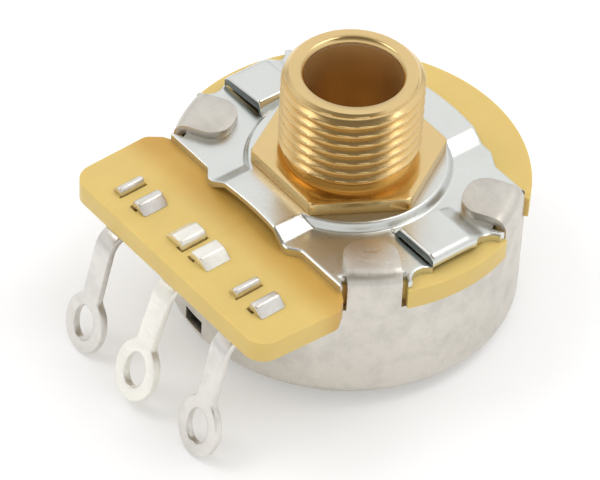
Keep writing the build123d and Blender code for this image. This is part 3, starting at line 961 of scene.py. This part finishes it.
def plate_points(sizes, rim):
    """The sheet's points inside its edge: rows on the slopes, and a plain net between them."""
    step = sizes.mesh_step
    beyond = sizes.boss_radius + sizes.boss_slope + BOSS_OUTSIDE
    points = [p for p in fold_points(sizes) if p.length > sizes.boss_radius - step]
    points = [p for p in points if p.length < beyond or abs(p.x) > PAD_ZONE or abs(p.y) > ARCH_FREE]
    count = round(sizes.radius / step)
    for i in range(-count, count + 1):
        for j in range(-count, count + 1):
            y = j * step * ROW_SPACE
            # At a pad's steep inner end the rows line up, because a shifted net leaves it ragged
            at_end = PAD_ENDS_X[0] < abs(i * step) < PAD_ENDS_X[1]
            at_end = at_end and PAD_ENDS_Y[0] < y < PAD_ENDS_Y[1]
            point = Vector((i * step + (0.5 * step if j % 2 and not at_end else 0.0), y))
            x = abs(point.x)
            on_boss = sizes.boss_radius - BOSS_INSIDE < point.length < beyond
            on_arch = sizes.arch_crown - ARCH_BESIDE < x < sizes.arch_foot + ARCH_BESIDE
            on_arch = on_arch and point.length > beyond
            on_pad = x > PAD_ZONE and abs(y - sizes.shear - SHEAR_MIDDLE) < SHEAR_BESIDE
            if point.length > sizes.neck_hole + 0.5 * step and not (on_boss or on_arch or on_pad):
                points.append(point)
    near = KDTree(len(rim))
    for index, point in enumerate(rim):
        near.insert(point.to_3d(), index)
    near.balance()
    return [p for p in points if near.find(p.to_3d())[2] > sizes.edge_round + 0.4 * step]


def flat_sheet(sizes):
    """The sheet's flat mesh, filled with points up to its edge, its hole and the pads' cuts."""
    step = sizes.mesh_step
    rim = plate_outline(sizes)
    hole = arc_points(CENTRE, sizes.neck_hole, 0.0, 2.0 * math.pi, step)[:-1]
    points = rim + hole
    edges = [(i, (i + 1) % len(rim)) for i in range(len(rim))]
    edges += [(len(rim) + i, len(rim) + (i + 1) % len(hole)) for i in range(len(hole))]
    along_cuts = []
    for side in (-1, 1):
        count = round((sizes.pad_end - CUT_INNER) / step)
        base = len(points)
        reach = (CUT_INNER + (sizes.pad_end - CUT_INNER) * i / count for i in range(count + 1))
        cut = [Vector((side * x, sizes.shear)) for x in reach]
        points += cut
        along_cuts += [Vector((p.x, sizes.shear - sizes.edge_round)) for p in cut]
        edges += [(base + i, base + i + 1) for i in range(count)]
    points += inner_line(rim, sizes.edge_round) + along_cuts + plate_points(sizes, rim)
    flat, _, triangles, _, _, _ = delaunay_2d_cdt(points, edges, [], 1, MERGE)
    bm = bmesh.new()
    verts = [bm.verts.new((p.x, p.y, 0.0)) for p in flat]
    for triangle in triangles:
        middle = sum((flat[i] for i in triangle), CENTRE) / 3
        if middle.length > sizes.neck_hole * HOLE_SHARE:
            bm.faces.new([verts[i] for i in triangle])
    bmesh.ops.delete(bm, geom=[v for v in bm.verts if not v.link_faces], context="VERTS")
    if sum(f.normal.z for f in bm.faces) < 0:
        bmesh.ops.reverse_faces(bm, faces=bm.faces)
    return bm


def plate_mesh(sizes):
    """The pressed sheet: cut beside the pads, lifted by the press, and given its thickness."""
    bm = flat_sheet(sizes)

    def on_cut(vert, slack):
        level = abs(vert.co.y - sizes.shear) < WELD
        return level and abs(vert.co.x) > CUT_INNER - slack

    cut = [e for e in bm.edges if all(on_cut(v, WELD) for v in e.verts)]
    bmesh.ops.split_edges(bm, edges=cut)
    low = {}
    for vert in list(bm.verts):
        x, y = vert.co.x, vert.co.y
        middle = sum(f.calc_center_median().y for f in vert.link_faces) / len(vert.link_faces)
        on_pad = middle > sizes.shear and y > sizes.shear - WELD and abs(x) > CUT_INNER
        lift = plate_height(sizes, x, y, on_pad)
        thin = 0.0 if on_pad else min(1.0, lift / sizes.rise)
        wall = sizes.thickness + (sizes.drawn - sizes.thickness) * thin
        top = sizes.face + lift
        low[vert] = bm.verts.new((x, y, top - wall))
        on_edge = any(len(e.link_faces) == 1 for e in vert.link_edges)
        vert.co.z = top - (EDGE_DROP * sizes.edge_round if on_edge else 0.0)
    sheet = list(bm.faces)
    border = [e.link_loops[0] for e in bm.edges if len(e.link_faces) == 1]
    walls = [(loop.vert, loop.link_loop_next.vert) for loop in border]
    for face in sheet:
        bm.faces.new([low[v] for v in reversed(face.verts)])
    for first, second in walls:
        wall = bm.faces.new((first, low[first], low[second], second))
        wall.material_index = 1 if on_cut(first, 0.0) and on_cut(second, 0.0) else 0
    turned = Matrix.Rotation(sizes.turn, 3, "Z")
    bmesh.ops.rotate(bm, cent=(0, 0, 0), matrix=turned, verts=bm.verts)
    return mesh_from(bm, "front_plate_shape", 44.0)


# Operators


class POT_OT_bushing(Operator):
    """Make the threaded bushing"""

    bl_idname = "potentiometer.bushing"
    bl_label = "Bushing"

    def execute(self, context):
        scene = context.scene
        brass = turned_brass("turned_brass", scene.pot_finishes.brass, 0.12)
        bore = turned_brass("bored_brass", scene.pot_finishes.bore, 0.4)
        mesh = bushing_mesh(scene.pot_bushing, brass)
        piece("bushing_turned", mesh, [brass, bore], ["bushing"])
        return {"FINISHED"}


class POT_OT_front_plate(Operator):
    """Make the pressed front plate"""

    bl_idname = "potentiometer.front_plate"
    bl_label = "Front plate"

    def execute(self, context):
        scene = context.scene
        zinc = zinc_plate(scene.pot_finishes.zinc)
        # The pads' cut walls: bare steel, darkened as painted shade of the slot under the pads
        sheared = plated_metal("cut_steel_painted_shade", scene.pot_finishes.sheared, 0.5, 0.6, 0.4)
        mesh = plate_mesh(scene.pot_plate)
        piece("front_plate_pressed", mesh, [zinc, sheared], ["front_plate"])
        return {"FINISHED"}


# The board's row of slots for the prongs, and the walls that the leaning prongs leave
SLOTS_FRONT = -13.95 * MM
SLOTS_BACK = -11.5 * MM
SLOTS_HALF = 7.9 * MM
LEFT_BEHIND = (-6.3 * MM, 5.8 * MM)
NEAR_WALL = 0.03 * MM
BOARD_OUTER = 11.75 * MM


def board_edge(middle):
    """The board's outer edge is worn round; its slots, notches and hole stay crisp."""
    in_slots = abs(middle.x) < SLOTS_HALF and middle.y > SLOTS_FRONT
    outer = middle.to_2d().length > BOARD_OUTER and not in_slots
    return 1.0 if outer else 0.2


def close_slots(bm, sizes):
    """The board grips the leaning prongs: their slots are closed on the side that they leave."""
    for vert in bm.verts:
        in_row = SLOTS_FRONT < vert.co.y < SLOTS_BACK
        if in_row and any(abs(vert.co.x - wall) < NEAR_WALL for wall in LEFT_BEHIND):
            vert.co.x -= sizes.lean


class POT_OT_element_board(Operator):
    """Make the element board with its tongue"""

    bl_idname = "potentiometer.element_board"
    bl_label = "Element board"

    def execute(self, context):
        scene = context.scene
        laminate = paper_laminate(scene.pot_finishes.laminate)
        shaped = partial(close_slots, sizes=scene.pot_prongs)
        mesh = rounded_copy(
            "element_board", scene.pot_edges.board, segments=4, shaped=shaped, share=board_edge
        )
        piece("element_board_laminate", mesh, [laminate], ["element_board"])
        return {"FINISHED"}


class POT_OT_lugs(Operator):
    """Make the three solder lugs"""

    bl_idname = "potentiometer.lugs"
    bl_label = "Solder lugs"

    def execute(self, context):
        scene = context.scene
        finishes = scene.pot_finishes
        tin = plated_metal("tinned_lug", finishes.tin, 0.34, 0.45, 0.35)
        pale = plated_metal("pale_tinned_lug", finishes.pale_tin, 0.42, 0.2, 0.7)
        lugs = {"terminal_left": tin, "terminal_wiper": pale, "terminal_right": tin}
        for node, material in lugs.items():
            shaped = partial(clinch, sizes=scene.pot_prongs, curled=material is tin)
            mesh = rounded_copy(node, scene.pot_edges.lug, segments=3, shaped=shaped)
            piece(node + "_lug", mesh, [material], [node])
        return {"FINISHED"}


class POT_OT_rear_case(Operator):
    """Make the drawn case with its folded tabs"""

    bl_idname = "potentiometer.rear_case"
    bl_label = "Rear case"

    def execute(self, context):
        scene = context.scene
        plating = plated_metal("case_plating", scene.pot_finishes.nickel, 0.42, 0.5, 0.5)
        mesh = rounded_copy("rear_case", scene.pot_edges.case)
        piece("rear_case_drawn", mesh, [plating], ["rear_case"])
        return {"FINISHED"}


class POT_OT_inner_parts(Operator):
    """Give the shaft, rotor, spring, films, washer and ring their finishes"""

    bl_idname = "potentiometer.inner_parts"
    bl_label = "Inner parts"

    def execute(self, context):
        finishes = context.scene.pot_finishes
        brass = plated_metal("shaft_brass", finishes.brass, 0.26, 0.4, 0.15)
        silver = plated_metal("silver_print", finishes.silver, 0.45, 0.3, 0.2)
        for names, material in (
            (("shaft",), brass),
            (("collector_track", "end_pad_left", "end_pad_right"), silver),
            (("resistive_track",), matt_solid("carbon_film", finishes.carbon, 0.45, 8.0)),
            (("rotor",), matt_solid("moulding", finishes.moulding, 0.5, 5.0)),
            (("thrust_washer",), matt_solid("fibre", finishes.fibre, 0.7, 6.0)),
            (("retaining_ring",), plated_metal("spring_steel", finishes.steel, 0.36, 0.4, 0.2)),
            (("wiper_spring",), plated_metal("spring_bronze", finishes.bronze, 0.3, 0.3, 0.2)),
        ):
            for name in names:
                paint(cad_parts[name].data, [material])
        return {"FINISHED"}


# The photographer's side, the camera's right and the camera itself, in the part's frame
FRONT_WAY = Vector((0.747, -0.665, 0.0))
SIDE_WAY = Vector((0.665, 0.747, 0.0))
CAMERA_RIGHT = Vector((0.63642367, 0.77034784, 0.03910405))
CAMERA_UP = Vector((-0.54362007, 0.41199245, 0.7312588))
CAMERA_PLACE = Vector((152.32190, -139.36311, 183.11641)) * MM

# The part rests on its lugs and the case's rim, so the floor leans in its frame
FLOOR_LEAN = math.radians(3.0)
FLOOR_REST = Vector((0.0, -17.5, -13.2)) * MM
FLOOR_HALF = 1.5
LAMP_DISTANCE = 0.26

# The dark side of the room, which only metal shows: where it starts and ends, and how dark it is
DARK_FRONT = (-0.45, -0.1)
DARK_ABOVE = (0.4, 0.8)
DARK_UNTIL = (0.45, 0.75)
DARK_SHARE = 0.78
DARK_TONE = (1.0, 0.88, 0.70)
LOW_LIGHT = 0.64


def sheet_mesh(name, corners):
    mesh = bpy.data.meshes.new(name)
    mesh.from_pydata(corners, [], [list(range(len(corners)))])
    return mesh


def area_lamp(name, where, power, width):
    """A square softbox that faces the part."""
    lamp = bpy.data.lights.new(name, "AREA")
    lamp.energy = power
    lamp.size = width
    thing = add_object(name, lamp)
    thing.location = where
    thing.rotation_euler = (-where).to_track_quat("-Z", "Y").to_euler()


def floor_paper():
    """Matt white paper that shows white to the camera and in metal, and keeps the shadow."""
    s = Shader("floor_paper")
    path = s.node("ShaderNodeLightPath", {})
    seen = s.out(path, "Is Camera Ray").maths("MAXIMUM", s.out(path, "Is Glossy Ray"))
    fibre = s.noise(0.8, 3.0)
    tone = s.mix(fibre * 0.3, (0.9, 0.9, 0.9), (0.88, 0.88, 0.88))
    paper = s.node("ShaderNodeBsdfDiffuse", {}, Color=tone)
    glow = s.node("ShaderNodeEmission", {}, Color=(1.0, 1.0, 1.0), Strength=seen * 0.2)
    both = s.node("ShaderNodeAddShader", {}, paper.outputs[0], glow.outputs[0])
    s.surface(both.outputs[0])
    return s.material


def surroundings(sky):
    """Plain white to the camera, even light on matt surfaces, and in metal a pale studio
    that is dark on the photographer's side."""
    world = bpy.data.worlds.new("surroundings")
    world.use_nodes = True
    s = Nodes(world.node_tree)
    s.tree.nodes.clear()
    path = s.node("ShaderNodeLightPath", {})
    way = s.node("ShaderNodeTexCoord", {}).outputs["Generated"]
    up = s.towards(way, (0.0, 0.0, 1.0))
    dark = s.towards(way, FRONT_WAY).rises(*DARK_FRONT) * up.rises(*DARK_ABOVE)
    dark = dark * (1.0 - s.towards(way, SIDE_WAY).rises(*DARK_UNTIL))
    height = up.rises(0.0, 0.5)
    level = (LOW_LIGHT + height * (1.0 - LOW_LIGHT)) * (1.0 - dark * DARK_SHARE)
    seen = s.out(path, "Is Camera Ray")
    glossy = s.out(path, "Is Glossy Ray")
    strength = seen + glossy * level + (1.0 - seen - glossy) * sky
    tone = s.mix(glossy * dark, (1.0, 1.0, 1.0), DARK_TONE)
    back = s.node("ShaderNodeBackground", {}, tone, strength)
    end = s.node("ShaderNodeOutputWorld", {})
    s.tree.links.new(back.outputs[0], end.inputs["Surface"])
    return world


class POT_OT_stage(Operator):
    """Set the floor, the lamps, the surroundings and the camera"""

    bl_idname = "potentiometer.stage"
    bl_label = "Stage"

    def execute(self, context):
        scene = context.scene
        stage = scene.pot_stage
        along = Vector((0.0, math.cos(FLOOR_LEAN), math.sin(FLOOR_LEAN))) * FLOOR_HALF
        across = Vector((1.0, 0.0, 0.0)) * FLOOR_HALF
        signs = ((-1, -1), (1, -1), (1, 1), (-1, 1))
        corners = [FLOOR_REST + across * x + along * y for x, y in signs]
        floor = add_object("floor", sheet_mesh("floor", corners))
        floor.data.materials.append(floor_paper())
        for name, power, sideways, near, high, width in (
            ("right_softbox", stage.right_box, 0.46, -0.09, 0.883, 0.12),
            ("left_softbox", stage.left_box, -0.55, -0.055, 0.833, 0.10),
        ):
            way = SIDE_WAY * sideways + FRONT_WAY * near + Vector((0.0, 0.0, high))
            area_lamp(name, way * LAMP_DISTANCE, power, width)
        scene.world = surroundings(stage.sky)
        scene.view_settings.view_transform = "Standard"
        camera = add_object("camera", bpy.data.cameras.new("camera"))
        camera.data.lens = stage.lens
        camera.data.sensor_width = 36.0
        camera.data.clip_start = 0.01
        camera.data.clip_end = 10.0
        back = CAMERA_RIGHT.cross(CAMERA_UP)
        turn = Matrix((CAMERA_RIGHT, CAMERA_UP, back)).transposed().to_4x4()
        camera.matrix_world = Matrix.Translation(CAMERA_PLACE) @ turn
        scene.camera = camera
        return {"FINISHED"}


STEPS = (
    POT_OT_bushing,
    POT_OT_front_plate,
    POT_OT_element_board,
    POT_OT_lugs,
    POT_OT_rear_case,
    POT_OT_inner_parts,
    POT_OT_stage,
)

GROUPS = (
    ("pot_bushing", BushingSizes),
    ("pot_plate", PlateSizes),
    ("pot_edges", EdgeSizes),
    ("pot_prongs", ProngSizes),
    ("pot_finishes", Finishes),
    ("pot_stage", Stage),
)


class POT_PT_panel(Panel):
    """Lists the potentiometer's sizes, finishes and pieces"""

    bl_idname = "POT_PT_panel"
    bl_label = "Potentiometer"
    bl_space_type = "VIEW_3D"
    bl_region_type = "UI"
    bl_category = "Potentiometer"

    def draw(self, context):
        layout = self.layout
        for name, group in GROUPS:
            box = layout.box()
            box.label(text=group.__doc__)
            settings = getattr(context.scene, name)
            for key in group.__annotations__:
                box.prop(settings, key)
        for step in STEPS:
            layout.operator(step.bl_idname)


def register():
    for name, group in GROUPS:
        bpy.utils.register_class(group)
        setattr(bpy.types.Scene, name, PointerProperty(type=group))
    for step in STEPS:
        bpy.utils.register_class(step)
    bpy.utils.register_class(POT_PT_panel)


def unregister():
    bpy.utils.unregister_class(POT_PT_panel)
    for step in reversed(STEPS):
        bpy.utils.unregister_class(step)
    for name, group in reversed(GROUPS):
        delattr(bpy.types.Scene, name)
        bpy.utils.unregister_class(group)


def main():
    register()
    for step in STEPS:
        group, name = step.bl_idname.split(".")
        getattr(getattr(bpy.ops, group), name)()


if __name__ == "__main__":
    main()
